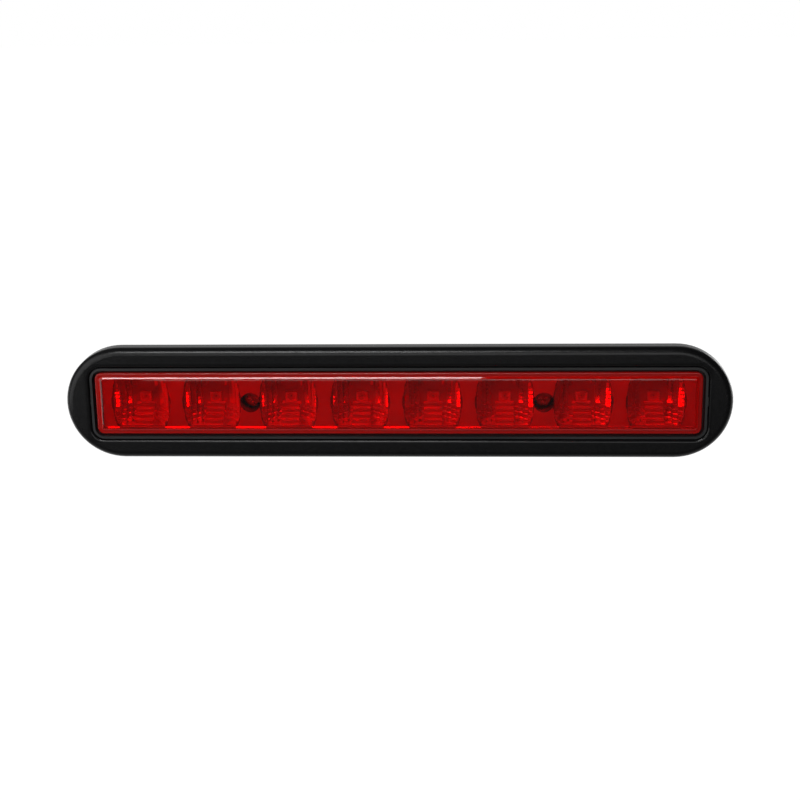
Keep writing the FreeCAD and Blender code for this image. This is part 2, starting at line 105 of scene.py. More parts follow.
# Facets of the bowls: a grid of cells, each cut at the shares of its width in SUB_STEPS
COLUMNS = 14
ROWS = 11
SUB_STEPS = (0.0, 0.07, 0.5, 0.93)
GRID_MARGIN = 0.6 * MM
STEPS_HALF_WIDTH = 2.8 * MM
FLUTE = 0.07 * MM
TREAD_SLOPE = 0.2
FACET_TILT = math.tan(math.radians(30.0))
BLEND_DEPTH = 1.5 * MM
CUTTER_FRONT = 1.0 * MM
CUTTER_SURFACE_FRONT = 0.9 * MM

# LEDs
CUP_RADIUS = 1.2 * MM
CUP_FLOOR_RADIUS = 0.9 * MM
CUP_DEPTH = 0.6 * MM
PACKAGE_FRONT_BEVEL = 0.08 * MM
PACKAGE_BACK_BEVEL = 0.06 * MM
LED_CHIP_HALF = 0.16 * MM
LEAD_THICKNESS = 0.12 * MM
LEAD_REACH = 0.9 * MM
LEAD_SETBACK = 0.02 * MM
LEAD_HALF_WIDTH = 1.0 * MM
LEAD_BEVEL = 0.03 * MM
RESIN_GAP = 0.01 * MM
RESIN_SAG = 0.05 * MM
RESIN_FLAT_SHARE = 0.6

# Parts on the back of the board
CHIP_BODY_BEVEL = 0.12 * MM
CHIP_END_BEVEL = 0.08 * MM
CHIP_END_INSET = 0.06 * MM
CHIP_END_SETBACK = 0.05 * MM
CHIP_END_OVERLAP = 1.1

# Studs
STUD_HEAD_RADIUS = 2.6 * MM
STUD_HEAD_THICKNESS = 1.0 * MM
STUD_HEAD_BEVEL = 0.15 * MM
STUD_SHOULDER_RADIUS = 2.2 * MM
THREAD_RADIUS = 2.0 * MM
THREAD_DEPTH = 0.38 * MM
THREAD_PITCH = 0.7 * MM
THREAD_UNDERCUT = 0.05 * MM
THREAD_START = 0.3 * MM
THREAD_FADE = 0.6 * MM
THREAD_CREST_GAIN = 1.35
RINGS_PER_PITCH = 6

# Largest angle between faces that are shaded as one, in degrees
SMOOTH_ANGLE = 30.0
FACET_SMOOTH_ANGLE = 9.0
THREAD_SMOOTH_ANGLE = 40.0

# How many sides the round parts have
ROD_SIDES = 40
LED_SIDES = 32
STUD_SIDES = 36

# Studio, in metres and degrees, and the focal length in millimetres
FLOOR_DROP = 0.14
FLOOR_HALF = 6.0
FLOOR_GLOW = (-0.1, 0.08)
CAMERA_DISTANCE = 0.45
CAMERA_AZIMUTH = 3.26
CAMERA_ELEVATION = 15.7
CAMERA_ROLL = -0.91
FOCAL_LENGTH = 68.3
CAMERA_SHIFT = 0.005


# ---- places read from the frame ----
def middle(node):
    """The centre of a CAD node's box."""
    low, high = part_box(node)
    return (Vector(low) + Vector(high)) / 2


def islands(node):
    """The boxes of a node's separate solids, from left to right, each as (low, high)."""
    mesh = frame["nodes"][node].data
    places = [tuple(round(c, 6) for c in v.co) for v in mesh.vertices]
    root = {place: place for place in places}

    def find(place):
        """The place that stands for the whole solid that this one is on."""
        while root[place] != place:
            root[place] = root[root[place]]
            place = root[place]
        return place

    for edge in mesh.edges:
        a, b = (find(places[i]) for i in edge.vertices)
        root[a] = b
    groups = {}
    for place in places:
        groups.setdefault(find(place), []).append(place)
    boxes = [
        (Vector(map(min, zip(*points))), Vector(map(max, zip(*points)))) for points in groups.values()
    ]
    return sorted(boxes, key=lambda b: b[0].x)


# ---- mesh helpers ----
def add_piece(name, mesh, materials, replaced):
    """Puts a finished mesh in the scene as a piece of the lamp."""
    piece = bpy.data.objects.new(name, mesh)
    bpy.context.scene.collection.objects.link(piece)
    for material in materials:
        mesh.materials.append(material)
    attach(piece, BODY)
    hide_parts(*replaced)


def finished_mesh(name, bm, smooth_angle=SMOOTH_ANGLE):
    """Turns a bmesh into a mesh, with shading that is smooth up to an angle between faces."""
    bmesh.ops.recalc_face_normals(bm, faces=bm.faces)
    mesh = bpy.data.meshes.new(name)
    bm.to_mesh(mesh)
    bm.free()
    mesh.shade_smooth()
    mesh.set_sharp_from_angle(angle=math.radians(smooth_angle))
    return mesh


def skin_rings(bm, rings, closed_ends=True, material=0):
    """Joins rings of vertices, each with the same count, into a tube, with capped ends if wanted."""
    faces = []
    for first, second in zip(rings, rings[1:]):
        count = len(first)
        for i in range(count):
            j = (i + 1) % count
            faces.append(bm.faces.new((first[i], first[j], second[j], second[i])))
    if closed_ends:
        faces.append(bm.faces.new(rings[0]))
        faces.append(bm.faces.new(rings[-1]))
    for face in faces:
        face.material_index = material


def circle_ring(bm, radius, centre, y, count, offset=0.0):
    """A ring of vertices round the Y direction through centre, turned by offset of a side."""
    ring = []
    for i in range(count):
        turn = 2 * math.pi * (i + offset) / count
        place = (centre.x + radius * math.cos(turn), y, centre.z + radius * math.sin(turn))
        ring.append(bm.verts.new(place))
    return ring


def box_mesh(bm, low, high, bevel=0.0, material=0):
    """A box between two corners, with bevelled edges if bevel is given."""
    size = Vector(high) - Vector(low)
    centre = (Vector(high) + Vector(low)) / 2
    matrix = Matrix.Translation(centre) @ Matrix.Diagonal((*size, 1.0))
    made = bmesh.ops.create_cube(bm, size=1.0, matrix=matrix)
    faces = {f for v in made["verts"] for f in v.link_faces}
    if bevel:
        edges = list({e for v in made["verts"] for e in v.link_edges})
        result = bmesh.ops.bevel(bm, geom=edges, offset=bevel, segments=2, profile=0.5, affect="EDGES")
        faces = {f for v in result["verts"] for f in v.link_faces} | {f for f in faces if f.is_valid}
    for face in faces:
        face.material_index = material


# ---- material helpers ----
def new_material(name, colour, roughness, metallic=0.0, specular=0.5):
    """A Principled material. Its colour and roughness hold where no pattern is linked to them."""
    material = bpy.data.materials.new(name)
    material.use_nodes = True
    tree = material.node_tree
    shader = tree.nodes["Principled BSDF"]
    shader.inputs["Base Color"].default_value = (*colour, 1.0)
    shader.inputs["Roughness"].default_value = roughness
    shader.inputs["Metallic"].default_value = metallic
    shader.inputs["Specular IOR Level"].default_value = specular
    return material, tree, shader


def noise(tree, scale, detail=2.0, stretch=(1.0, 1.0, 1.0)):
    """A noise pattern fixed to the object; scale is in cycles per metre."""
    coords = tree.nodes.new("ShaderNodeTexCoord")
    mapping = tree.nodes.new("ShaderNodeMapping")
    mapping.inputs["Scale"].default_value = stretch
    texture = tree.nodes.new("ShaderNodeTexNoise")
    texture.inputs["Scale"].default_value = scale
    texture.inputs["Detail"].default_value = detail
    tree.links.new(coords.outputs["Object"], mapping.inputs["Vector"])
    tree.links.new(mapping.outputs["Vector"], texture.inputs["Vector"])
    return texture.outputs["Fac"]


def ramp(tree, factor, low, high, spread):
    """A value that goes from low to high as factor goes across spread."""
    node = tree.nodes.new("ShaderNodeMapRange")
    node.inputs["From Min"].default_value = spread[0]
    node.inputs["From Max"].default_value = spread[1]
    node.inputs["To Min"].default_value = low
    node.inputs["To Max"].default_value = high
    tree.links.new(factor, node.inputs["Value"])
    return node.outputs["Result"]


def vary(tree, factor, low, high, socket, spread=(0.3, 0.7)):
    """Drives a socket between two values as factor goes across spread."""
    tree.links.new(ramp(tree, factor, low, high, spread), socket)


def vary_colour(tree, factor, low, high, socket):
    """Drives a colour socket between two colours."""
    node = tree.nodes.new("ShaderNodeValToRGB")
    dark_end, light_end = node.color_ramp.elements
    dark_end.position = 0.35
    dark_end.color = (*low, 1.0)
    light_end.position = 0.65
    light_end.color = (*high, 1.0)
    tree.links.new(factor, node.inputs["Fac"])
    tree.links.new(node.outputs["Color"], socket)


def axes(tree, space="Object"):
    """The X, Y and Z outputs of the point being shaded."""
    coords = tree.nodes.new("ShaderNodeTexCoord")
    split = tree.nodes.new("ShaderNodeSeparateXYZ")
    tree.links.new(coords.outputs[space], split.inputs["Vector"])
    return split.outputs


def math_node(tree, operation, first, second=0.0):
    """A Math node of one or two inputs, each a socket or a number."""
    node = tree.nodes.new("ShaderNodeMath")
    node.operation = operation
    for socket, value in zip(node.inputs, (first, second)):
        if isinstance(value, (int, float)):
            socket.default_value = value
        else:
            tree.links.new(value, socket)
    return node.outputs["Value"]


def outside_oblong(tree, half_length, half_height):
    """How far a point of the object is outside an oblong round the Y axis, in metres."""
    point = axes(tree)
    past_end = math_node(tree, "SUBTRACT", math_node(tree, "ABSOLUTE", point["X"]), half_length)
    past_top = math_node(tree, "SUBTRACT", math_node(tree, "ABSOLUTE", point["Z"]), half_height)
    return math_node(tree, "MAXIMUM", past_end, past_top)


def bump(tree, shader, height, distance, strength):
    """Raises the surface by height, where 1 is distance metres."""
    node = tree.nodes.new("ShaderNodeBump")
    node.inputs["Strength"].default_value = strength
    node.inputs["Distance"].default_value = distance
    tree.links.new(height, node.inputs["Height"])
    tree.links.new(node.outputs["Normal"], shader.inputs["Normal"])


# ---- materials ----
def bezel_plastic():
    """Black moulded plastic with a fine eroded grain, which the mould leaves smooth round the opening."""
    material, tree, shader = new_material("bezel_plastic", (0.006, 0.006, 0.0064), 0.4, specular=0.25)
    lens_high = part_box("lens")[1]
    past = outside_oblong(tree, lens_high[0] + OPENING_MARGIN, lens_high[2] + OPENING_MARGIN)
    vary(tree, past, 0.2, 0.26, shader.inputs["Roughness"], (0.0, GRAIN_FADE))
    height = ramp(tree, past, 0.0, 1.0, (0.0, GRAIN_FADE))
    grain = math_node(tree, "MULTIPLY", noise(tree, 2600.0, detail=3.0), height)
    bump(tree, shader, grain, 0.06 * MM, 0.55)
    patch = noise(tree, 900.0)
    vary_colour(tree, patch, (0.004, 0.004, 0.0043), (0.006, 0.006, 0.0064), shader.inputs["Base Color"])
    return material


def housing_plastic():
    """Smooth satin black plastic with faint flow marks."""
    material, tree, shader = new_material("housing_plastic", (0.014, 0.014, 0.015), 0.32)
    flow = noise(tree, 40.0, stretch=(0.3, 1.0, 2.0))
    vary(tree, flow, 0.26, 0.4, shader.inputs["Roughness"])
    vary_colour(tree, flow, (0.012, 0.012, 0.0125), (0.018, 0.018, 0.019), shader.inputs["Base Color"])
    bump(tree, shader, noise(tree, 500.0), 0.02 * MM, 0.3)
    return material


def red_lens():
    """Clear red acrylic, hazy outside the flat of the pane. Light reaches what is behind it."""
    material, tree, shader = new_material("red_lens", (0.72, 0.004, 0.002), 0.02, specular=0.25)
    shader.inputs["IOR"].default_value = 1.49
    lens_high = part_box("lens")[1]
    past = outside_oblong(tree, lens_high[0] - PANE_MARGIN, lens_high[2] - PANE_MARGIN)
    vary(tree, past, 1.0, 0.65, shader.inputs["Transmission Weight"], (0.0, PANE_EDGE))
    vary(tree, past, 0.02, 0.22, shader.inputs["Roughness"], (PANE_BEVEL, PANE_BEVEL + 0.1 * MM))
    tint = noise(tree, 25.0)
    vary_colour(tree, tint, (0.70, 0.004, 0.002), (0.74, 0.006, 0.003), shader.inputs["Base Color"])
    clear = tree.nodes.new("ShaderNodeBsdfTransparent")
    clear.inputs["Color"].default_value = (0.72, 0.005, 0.003, 1.0)
    path = tree.nodes.new("ShaderNodeLightPath")
    mix = tree.nodes.new("ShaderNodeMixShader")
    tree.links.new(path.outputs["Is Shadow Ray"], mix.inputs["Fac"])
    tree.links.new(shader.outputs["BSDF"], mix.inputs[1])
    tree.links.new(clear.outputs["BSDF"], mix.inputs[2])
    tree.links.new(mix.outputs["Shader"], tree.nodes["Material Output"].inputs["Surface"])
    return material


def bright_reflector():
    """Vacuum-metallised plastic: bright in the bowls and satin on the flat front. Its colour is darkened by
    painted shade in a thin band just inside the bowls' sharp mouths and inside the screw wells."""
    material, tree, shader = new_material("bright_reflector", (0.86, 0.87, 0.88), 0.12, metallic=1.0)
    point = axes(tree)
    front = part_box("reflector")[0][1]
    just_inside = (front, front + FRONT_FADE)
    vary(tree, point["Y"], 0.74, 0.55, shader.inputs["Metallic"], just_inside)
    away = math_node(tree, "ABSOLUTE", math_node(tree, "SUBTRACT", point["Y"], front))
    satin = ramp(tree, away, 0.5, 0.1, (0.0, SATIN_FADE))
    patch = noise(tree, 160.0)
    haze = math_node(tree, "MULTIPLY", patch, 0.15)
    tree.links.new(math_node(tree, "ADD", satin, haze), shader.inputs["Roughness"])
    # Painted shade: the colour is darkened in a thin band just inside the bowls' mouths
    from_mouth = math_node(tree, "SUBTRACT", point["Y"], front + MOUTH_SHADE_DEPTH)
    mouth_shade = ramp(tree, math_node(tree, "ABSOLUTE", from_mouth), 0.4, 1.0, (0.3 * MM, 0.38 * MM))
    plate = ramp(tree, point["Y"], 0.76, 1.0, just_inside)
    # Painted shade: the colour is darkened inside the deep screw wells
    screw_x = middle("reflector_screws").x + (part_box("reflector_screws")[1][0] - SCREW_HEAD_RADIUS)
    past_x = math_node(tree, "SUBTRACT", math_node(tree, "ABSOLUTE", point["X"]), screw_x)
    square_x = math_node(tree, "MULTIPLY", past_x, past_x)
    square_z = math_node(tree, "MULTIPLY", point["Z"], point["Z"])
    from_screw = math_node(tree, "SQRT", math_node(tree, "ADD", square_x, square_z))
    well_shade = ramp(tree, from_screw, 0.12, 1.0, (WELL_RADIUS + 0.05 * MM, WELL_RADIUS + 0.15 * MM))
    shade = tree.nodes.new("ShaderNodeVectorMath")
    shade.operation = "SCALE"
    vary_colour(tree, patch, (0.80, 0.81, 0.82), (0.9, 0.9, 0.9), shade.inputs[0])
    tone_and_painted_shade = math_node(tree, "MULTIPLY", math_node(tree, "MULTIPLY", mouth_shade, plate), well_shade)
    tree.links.new(tone_and_painted_shade, shade.inputs["Scale"])
    tree.links.new(shade.outputs["Vector"], shader.inputs["Base Color"])
    return material


def plated_steel():
    """Bright zinc plate with fine drawn scratches."""
    material, tree, shader = new_material("plated_steel", (0.6, 0.6, 0.58), 0.3, metallic=1.0)
    scratch = noise(tree, 700.0, stretch=(1.0, 0.1, 1.0))
    vary(tree, scratch, 0.22, 0.42, shader.inputs["Roughness"])
    vary_colour(tree, noise(tree, 300.0), (0.5, 0.5, 0.47), (0.68, 0.68, 0.66), shader.inputs["Base Color"])
    bump(tree, shader, scratch, 0.01 * MM, 0.4)
    return material


def tinned_metal():
    """Dull tin plate on the plug blades, leads and chip ends."""
    material, tree, shader = new_material("tinned_metal", (0.7, 0.69, 0.66), 0.35, metallic=1.0)
    patch = noise(tree, 900.0)
    vary(tree, patch, 0.28, 0.45, shader.inputs["Roughness"])
    vary_colour(tree, patch, (0.6, 0.59, 0.56), (0.76, 0.75, 0.72), shader.inputs["Base Color"])
    return material


def mottled_plastic(name, dark, light, roughness, grain=1200.0, depth=0.02 * MM):
    """A moulded or pressed surface with slight mottling and a fine grain."""
    material, tree, shader = new_material(name, light, roughness)
    vary_colour(tree, noise(tree, grain / 4), dark, light, shader.inputs["Base Color"])
    vary(tree, noise(tree, grain / 2), roughness - 0.06, roughness + 0.06, shader.inputs["Roughness"])
    bump(tree, shader, noise(tree, grain), depth, 0.5)
    return material


def foam_rubber():
    """Closed-cell foam with small open pits on its cut faces."""
    material, tree, shader = new_material("foam_rubber", (0.03, 0.03, 0.03), 0.85, specular=0.2)
    coords = tree.nodes.new("ShaderNodeTexCoord")
    cells = tree.nodes.new("ShaderNodeTexVoronoi")
    cells.inputs["Scale"].default_value = 1800.0
    tree.links.new(coords.outputs["Object"], cells.inputs["Vector"])
    pits = cells.outputs["Distance"]
    vary_colour(tree, pits, (0.014, 0.014, 0.014), (0.045, 0.045, 0.044), shader.inputs["Base Color"])
    bump(tree, shader, pits, 0.25 * MM, 0.7)
    return material


def clear_resin():
    """The clear resin that fills an LED's cup."""
    material, tree, shader = new_material("clear_resin", (0.95, 0.93, 0.88), 0.05)
    shader.inputs["Transmission Weight"].default_value = 1.0
    shader.inputs["IOR"].default_value = 1.41
    vary(tree, noise(tree, 1500.0), 0.03, 0.09, shader.inputs["Roughness"])
    return material


MATERIALS = {
    "bezel": bezel_plastic(),
    "housing": housing_plastic(),
    "lens": red_lens(),
    "reflector": bright_reflector(),
    "steel": plated_steel(),
    "tin": tinned_metal(),
    "foam": foam_rubber(),
    "resin": clear_resin(),
    "sealant": mottled_plastic("sealant", (0.02, 0.02, 0.02), (0.035, 0.035, 0.035), 0.5),
    "board": mottled_plastic("board_laminate", (0.62, 0.64, 0.6), (0.78, 0.79, 0.76), 0.4, 2400.0),
    "led_body": mottled_plastic("led_package", (0.8, 0.8, 0.76), (0.9, 0.9, 0.87), 0.5, 3000.0),
    "led_chip": mottled_plastic("led_chip", (0.08, 0.05, 0.03), (0.2, 0.13, 0.06), 0.3, 9000.0),
    "epoxy": mottled_plastic("component_epoxy", (0.018, 0.018, 0.02), (0.03, 0.03, 0.032), 0.45, 2600.0),
    "resistor": mottled_plastic("resistor_glaze", (0.012, 0.012, 0.014), (0.03, 0.03, 0.034), 0.3),
    "capacitor": mottled_plastic("capacitor_ceramic", (0.42, 0.29, 0.17), (0.56, 0.41, 0.26), 0.45),
    "membrane": mottled_plastic("membrane", (0.62, 0.62, 0.6), (0.8, 0.8, 0.78), 0.7, 4000.0, 0.04 * MM),
}


def paint_node(node, material):
    """Gives a CAD node its material."""
    mesh_object = frame["nodes"][node]
    if not mesh_object.material_slots:
        mesh_object.data.materials.append(material)
    for material_slot in mesh_object.material_slots:
        material_slot.material = material


NODE_MATERIALS = {
    "bezel": "bezel",
    "housing": "housing",
    "lens": "lens",
    "lens_seal": "sealant",
    "reflector_screws": "steel",
    "circuit_board": "board",
    "terminal_pins": "tin",
    "mounting_gasket": "foam",
    "breather_vent": "membrane",
}
for node_name, material_name in NODE_MATERIALS.items():
    paint_node(node_name, MATERIALS[material_name])


# ---- reflector ----
reflector_low, reflector_high = (Vector(c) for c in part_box("reflector"))
PLATE_FRONT = reflector_low.y
LED_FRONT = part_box("led_1")[0][1]
BOARD_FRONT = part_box("circuit_board")[0][1]
BOWL_DEPTH = LED_FRONT + LED_PROUD - PLATE_FRONT
BOWL_LIMIT = reflector_high.z - BOWL_END_MARGIN


def bowl_depth(x, z, grow=0.0):
    """How deep the smooth bowl is at (x, z) from its centre: a paraboloid that narrows to the width of
    the bowl's floor at BOWL_DEPTH."""
    spread = (BOWL_FLOOR_HALF_WIDTH / BOWL_HALF_WIDTH) ** 2
    full = BOWL_DEPTH / (1 - spread)
    rho = (x / (BOWL_HALF_WIDTH + grow)) ** 2 + (z / (BOWL_HALF_HEIGHT + grow)) ** 2
    return full * (1 - rho)


def grid_line(count, step, sub_steps):
    """The cell that a grid line is in, its share of the way across, and its place from -1 to 1."""
    cell = min(step // len(sub_steps), count - 1)
    share = 1.0 if step == count * len(sub_steps) else sub_steps[step % len(sub_steps)]
    return cell, share, (cell + share) / count * 2 - 1


def faceted_depth(column, row, half_x, half_z):
    """How deep the faceted bowl is where two grid lines cross. Below the LED it goes back in level
    steps. Its sides are fluted columns of small treads, and above the LED's lower edge every other
    column is tilted upwards. Near the mouth it blends into the smooth bowl."""
    cell_i, u, across = column
    cell_j, v, up = row
    treads = int((half_z - WINDOW_HALF.z) / (2 * half_z / ROWS))
    in_middle = abs(across) * half_x < STEPS_HALF_WIDTH
    if in_middle and cell_j < treads:
        return BOWL_DEPTH * (cell_j + (0.5 if v == 0.0 else 1.0)) / (treads + 1)
    smooth = bowl_depth(across * half_x, up * half_z)
    row_z = ((cell_j + (0.0 if v == 0.0 else 0.5)) / ROWS * 2 - 1) * half_z
    column_x = ((cell_i + 0.5) / COLUMNS * 2 - 1) * half_x
    stepped = bowl_depth(column_x, row_z) - FLUTE * 4 * u * (1 - u)
    stepped -= math.copysign(TREAD_SLOPE, column_x) * (u - 0.5) * 2 * half_x / COLUMNS
    tilted = min(cell_i, COLUMNS - 1 - cell_i) % 2 == 1
    if cell_j >= treads and tilted and v > 0.0:
        stepped += FACET_TILT * (v - 0.5) * 2 * half_z / ROWS
    share = min(1.0, max(0.0, smooth / BLEND_DEPTH))
    return smooth * (1 - share) + stepped * share


def bowl_cutter(x_centre, facets, grow, name):
    """A closed solid of one bowl's hollow, faceted or smooth, and larger by grow for its outside."""
    half_x = BOWL_HALF_WIDTH + grow + GRID_MARGIN
    half_z = BOWL_LIMIT + (BOWL_SKIN_END if grow else 0.0)
    sub_steps = SUB_STEPS if facets else (0.0,)
    bm = bmesh.new()
    rows = []
    for j in range(ROWS * len(sub_steps) + 1):
        row = grid_line(ROWS, j, sub_steps)
        verts = []
        for i in range(COLUMNS * len(sub_steps) + 1):
            column = grid_line(COLUMNS, i, sub_steps)
            across, up = column[2], row[2]
            if facets:
                depth = faceted_depth(column, row, half_x, half_z)
            else:
                depth = bowl_depth(across * half_x, up * half_z, grow)
            depth = min(max(depth, -CUTTER_SURFACE_FRONT), BOWL_DEPTH + grow)
            verts.append(bm.verts.new((x_centre + across * half_x, PLATE_FRONT + depth, up * half_z)))
        rows.append(verts)
    for lower, upper in zip(rows, rows[1:]):
        for i in range(len(lower) - 1):
            bm.faces.new((lower[i], lower[i + 1], upper[i + 1], upper[i]))
    rim = [edge for edge in bm.edges if edge.is_boundary]
    made = bmesh.ops.extrude_edge_only(bm, edges=rim)["geom"]
    for vert in (item for item in made if isinstance(item, bmesh.types.BMVert)):
        vert.co.y = PLATE_FRONT - CUTTER_FRONT
    edges = [item for item in made if isinstance(item, bmesh.types.BMEdge) and item.is_boundary]
    bmesh.ops.contextual_create(bm, geom=edges)
    return finished_mesh(name, bm)


def boolean(target, tools, operation):
    """Applies one exact boolean of several meshes to the target object, and removes the tools."""
    group = bpy.data.collections.new("tools")
    for mesh in tools:
        tool = bpy.data.objects.new("tool", mesh)
        group.objects.link(tool)
    bpy.context.scene.collection.children.link(group)
    modifier = target.modifiers.new("boolean", "BOOLEAN")
    modifier.operation = operation
    modifier.solver = "EXACT"
    modifier.operand_type = "COLLECTION"
    modifier.collection = group
    graph = bpy.context.evaluated_depsgraph_get()
    result = bpy.data.meshes.new_from_object(target.evaluated_get(graph))
    target.modifiers.clear()
    target.data = result
    for tool in list(group.objects):
        bpy.data.objects.remove(tool)
    bpy.data.collections.remove(group)


def rod_mesh(radius, centre_x, y_front, y_back):
    """A plain cylinder along Y, as a tool for the booleans."""
    bm = bmesh.new()
    centre = Vector((centre_x, 0, 0))
    skin_rings(bm, [circle_ring(bm, radius, centre, y, ROD_SIDES) for y in (y_front, y_back)])
    return finished_mesh("rod", bm)


def block_mesh(low, high, bevel=0.0):
    """A box between two corners, as a mesh of its own."""
    bm = bmesh.new()
    box_mesh(bm, low, high, bevel)
    return finished_mesh("block", bm)


def edge_ribs(led_x):
    """Small sloping ribs that stiffen the plate's lower edge between the bowls."""
    ribs = []
    starts = [reflector_low.x + MM] + [x + RIB_CLEARANCE for x in led_x]
    ends = [x - RIB_CLEARANCE for x in led_x] + [reflector_high.x - MM]
    for start, end in zip(starts, ends):
        low = Vector((start, PLATE_FRONT - RIB_HEIGHT, reflector_low.z + RIB_INSET))
        high = Vector((end, PLATE_FRONT + RIB_DEPTH, -BOWL_LIMIT))
        rib = block_mesh(low, high)
        for vert in rib.vertices:
            if vert.co.y < PLATE_FRONT and vert.co.z > (low.z + high.z) / 2:
                vert.co.y = PLATE_FRONT + RIB_SINK
        ribs.append(rib)
    return ribs


def build_reflector():
    """The bright plate with its faceted bowls, LED windows and screw wells. The bowls are cut last, so
    that they trim whatever reaches into them."""
    screws = islands("reflector_screws")
    screw_x = [(low.x + high.x) / 2 for low, high in screws]
    head_back = screws[0][0].y + SCREW_HEAD_HEIGHT
    led_x = [middle(node).x for node in LED_NODES]
    plate_high = Vector((reflector_high.x, PLATE_FRONT + PLATE_THICKNESS, reflector_high.z))
    plate_mesh = block_mesh(reflector_low, plate_high, PLATE_BEVEL)
    plate = bpy.data.objects.new("reflector_plate", plate_mesh)
    bpy.context.scene.collection.objects.link(plate)
    boolean(plate, [bowl_cutter(x, False, BOWL_SKIN, "shell") for x in led_x], "UNION")
    trim_low = Vector((reflector_low.x - MM, PLATE_FRONT - 3 * MM, reflector_low.z - MM))
    trim_high = Vector((reflector_high.x + MM, PLATE_FRONT, reflector_high.z + MM))
    boolean(plate, [block_mesh(trim_low, trim_high)], "DIFFERENCE")
    tube_front = PLATE_FRONT + WELL_OVERLAP
    tubes = [rod_mesh(WELL_RADIUS + WELL_WALL, x, tube_front, BOARD_FRONT) for x in screw_x]
    boolean(plate, tubes + edge_ribs(led_x), "UNION")
    cuts = [rod_mesh(WELL_RADIUS, x, PLATE_FRONT - MM, head_back) for x in screw_x]
    for x in led_x:
        low = Vector((x, LED_FRONT - WINDOW_REACH, 0)) - WINDOW_HALF
        high = Vector((x, BOARD_FRONT + MM, 0)) + WINDOW_HALF
        cuts.append(block_mesh(low, high))
    boolean(plate, cuts, "DIFFERENCE")
    holes = [rod_mesh(SHANK_HOLE_RADIUS, x, PLATE_FRONT, BOARD_FRONT + MM) for x in screw_x]
    boolean(plate, holes, "DIFFERENCE")
    boolean(plate, [bowl_cutter(x, True, 0.0, "bowl") for x in led_x], "DIFFERENCE")
    mesh = plate.data
    mesh.materials.clear()
    mesh.shade_smooth()
    mesh.set_sharp_from_angle(angle=math.radians(FACET_SMOOTH_ANGLE))
    bpy.data.objects.remove(plate)
    add_piece("reflector_faceted", mesh, [MATERIALS["reflector"]], ["reflector"])


# ---- LEDs ----
def package_ring(bm, low, high, y, inset):
    """The outline of an LED's package, with one vertex for each of its cup's."""
    centre = (low + high) / 2
    half_x = (high.x - low.x) / 2 - inset
    half_z = (high.z - low.z) / 2 - inset
    ring = []
    for i in range(LED_SIDES):
        turn = 2 * math.pi * (i + 0.5) / LED_SIDES
        reach_x, reach_z = math.cos(turn), math.sin(turn)
        scale = min(half_x / max(abs(reach_x), 1e-6), half_z / max(abs(reach_z), 1e-6))
        ring.append(bm.verts.new((centre.x + reach_x * scale, y, centre.z + reach_z * scale)))
    return ring


def build_led(number, node):
    """One LED: white package, round cup with a chip on its floor, resin, and tinned leads."""
    low, high = (Vector(c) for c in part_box(node))
    centre = (low + high) / 2
    cup_floor = low.y + CUP_DEPTH
    bm = bmesh.new()

    def cup_ring(radius, y):
        """A ring round the cup, in step with the vertices of package_ring."""
        return circle_ring(bm, radius, centre, y, LED_SIDES, 0.5)

    rings = [
        package_ring(bm, low, high, high.y, PACKAGE_BACK_BEVEL),
        package_ring(bm, low, high, high.y - PACKAGE_BACK_BEVEL, 0.0),
        package_ring(bm, low, high, low.y + PACKAGE_FRONT_BEVEL, 0.0),
        package_ring(bm, low, high, low.y, PACKAGE_FRONT_BEVEL),
        cup_ring(CUP_RADIUS, low.y),
        cup_ring(CUP_FLOOR_RADIUS, cup_floor),
    ]
    skin_rings(bm, rings)
    chip_corner = Vector((LED_CHIP_HALF, 0.0, LED_CHIP_HALF))
    chip_low = Vector((centre.x, cup_floor - LED_CHIP_HALF, centre.z)) - chip_corner
    chip_high = Vector((centre.x, cup_floor, centre.z)) + chip_corner
    box_mesh(bm, chip_low, chip_high, 0.0, material=1)
    lead_front, lead_back = high.y - LEAD_REACH, high.y - LEAD_SETBACK
    for left, right in ((low.x - LEAD_THICKNESS, low.x), (high.x, high.x + LEAD_THICKNESS)):
        lead_low = Vector((left, lead_front, centre.z - LEAD_HALF_WIDTH))
        lead_high = Vector((right, lead_back, centre.z + LEAD_HALF_WIDTH))
        box_mesh(bm, lead_low, lead_high, LEAD_BEVEL, material=2)
    resin = [
        cup_ring(CUP_RADIUS - RESIN_GAP, low.y + RESIN_GAP),
        cup_ring(CUP_RADIUS * RESIN_FLAT_SHARE, low.y + RESIN_SAG),
    ]
    skin_rings(bm, resin, closed_ends=False, material=3)
    bm.faces.new(resin[-1]).material_index = 3
    mesh = finished_mesh(f"led_{number}_detail", bm)
    slots = [MATERIALS[key] for key in ("led_body", "led_chip", "tin", "resin")]
    add_piece(f"led_{number}_detail", mesh, slots, [node])


# ---- parts on the back of the board ----
def build_chips(name, node, body, metal_share):
    """The surface-mount parts of one node, each a body between two tinned ends."""
    bm = bmesh.new()
    inset = Vector((0, 0, CHIP_END_INSET))
    setback = Vector((0, CHIP_END_SETBACK, 0))
    for low, high in islands(node):
        end = (high.x - low.x) * metal_share
        box_mesh(bm, low + Vector((end, 0, 0)), high - Vector((end, 0, 0)), CHIP_BODY_BEVEL)
        left_high = Vector((low.x + end * CHIP_END_OVERLAP, high.y, high.z))
        right_low = Vector((high.x - end * CHIP_END_OVERLAP, low.y, low.z))
        box_mesh(bm, low + inset, left_high - inset - setback, CHIP_END_BEVEL, 1)
        box_mesh(bm, right_low + inset, high - inset - setback, CHIP_END_BEVEL, 1)
    add_piece(name, finished_mesh(name, bm), [body, MATERIALS["tin"]], [node])


